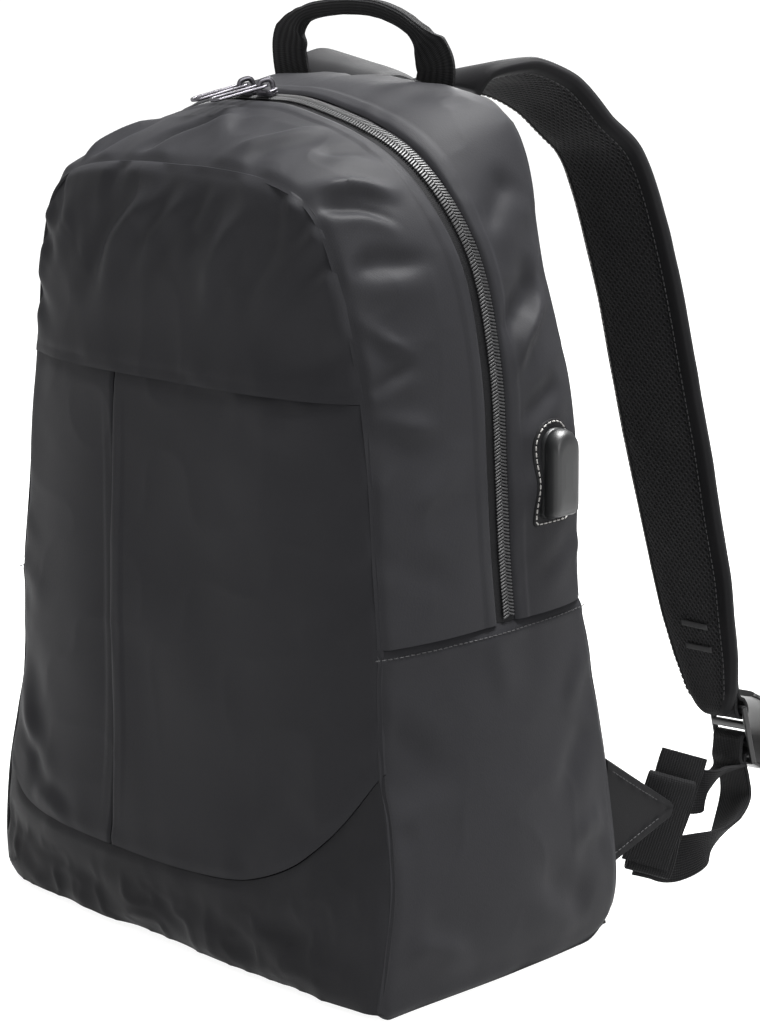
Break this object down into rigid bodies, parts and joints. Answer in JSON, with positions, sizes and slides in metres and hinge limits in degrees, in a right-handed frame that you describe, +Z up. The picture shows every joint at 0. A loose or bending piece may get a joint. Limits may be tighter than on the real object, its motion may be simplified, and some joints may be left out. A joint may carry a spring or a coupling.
{
  "type": "laptop backpack",
  "caption": "Upright cloth backpack with a two-way arched zip, padded shoulder straps on ladder buckles, a top grab handle and a side cable outlet.",
  "frame": {"origin": "on the floor below the middle of the bag's base", "axes": "+Z up, -Y towards the bag's front, +X towards its right side as the wearer's left"},
  "size_m": [0.3336, 0.3404, 0.5015],
  "materials": {
    "body_cloth": "matte",
    "spacer_mesh": "matte",
    "strap_cloth": "matte",
    "zip_coil": "satin",
    "zip_metal": "satin",
    "buckle_plastic": "satin",
    "port_rubber": "satin",
    "webbing": "matte"
  },
  "bodies": {
    "bag": {"front_gusset": "body_cloth", "rear_gusset": "body_cloth", "front_upper_panel": "body_cloth", "front_pocket_panel_left": "body_cloth", "front_pocket_panel_right": "body_cloth", "front_base_panel": "body_cloth", "side_panel_right": "body_cloth", "side_panel_left": "body_cloth", "bottom_panel": "body_cloth", "back_panel": "spacer_mesh", "zipper_chain": "zip_coil", "zipper_slider_right": "zip_metal", "zipper_slider_left": "zip_metal", "shoulder_strap_right": "strap_cloth", "shoulder_strap_left": "strap_cloth", "grab_handle": "webbing", "ladder_buckle_right": "buckle_plastic", "ladder_buckle_left": "buckle_plastic", "buckle_loop_right": "webbing", "buckle_loop_left": "webbing", "webbing_tail_right": "webbing", "webbing_tail_left": "webbing", "adjuster_webbing_right": "webbing", "adjuster_webbing_left": "webbing", "strap_tab_right": "body_cloth", "strap_tab_left": "body_cloth", "usb_port": "port_rubber"},
    "pull_right": {"zipper_pull_right": "zip_metal"},
    "pull_left": {"zipper_pull_left": "zip_metal"}
  },
  "joints": [
    {"name": "pull_right_hinge", "type": "hinge", "parent": "bag", "child": "pull_right", "pos_m": [-0.00025, -0.01269, 0.45481], "axis": [-0.9135, 0.3939, 0.1015], "range_deg": [0, 160]},
    {"name": "pull_left_hinge", "type": "hinge", "parent": "bag", "child": "pull_left", "pos_m": [-0.01597, -0.0126, 0.45463], "axis": [-0.9129, 0.4022, 0.0694], "range_deg": [0, 160]}
  ]
}
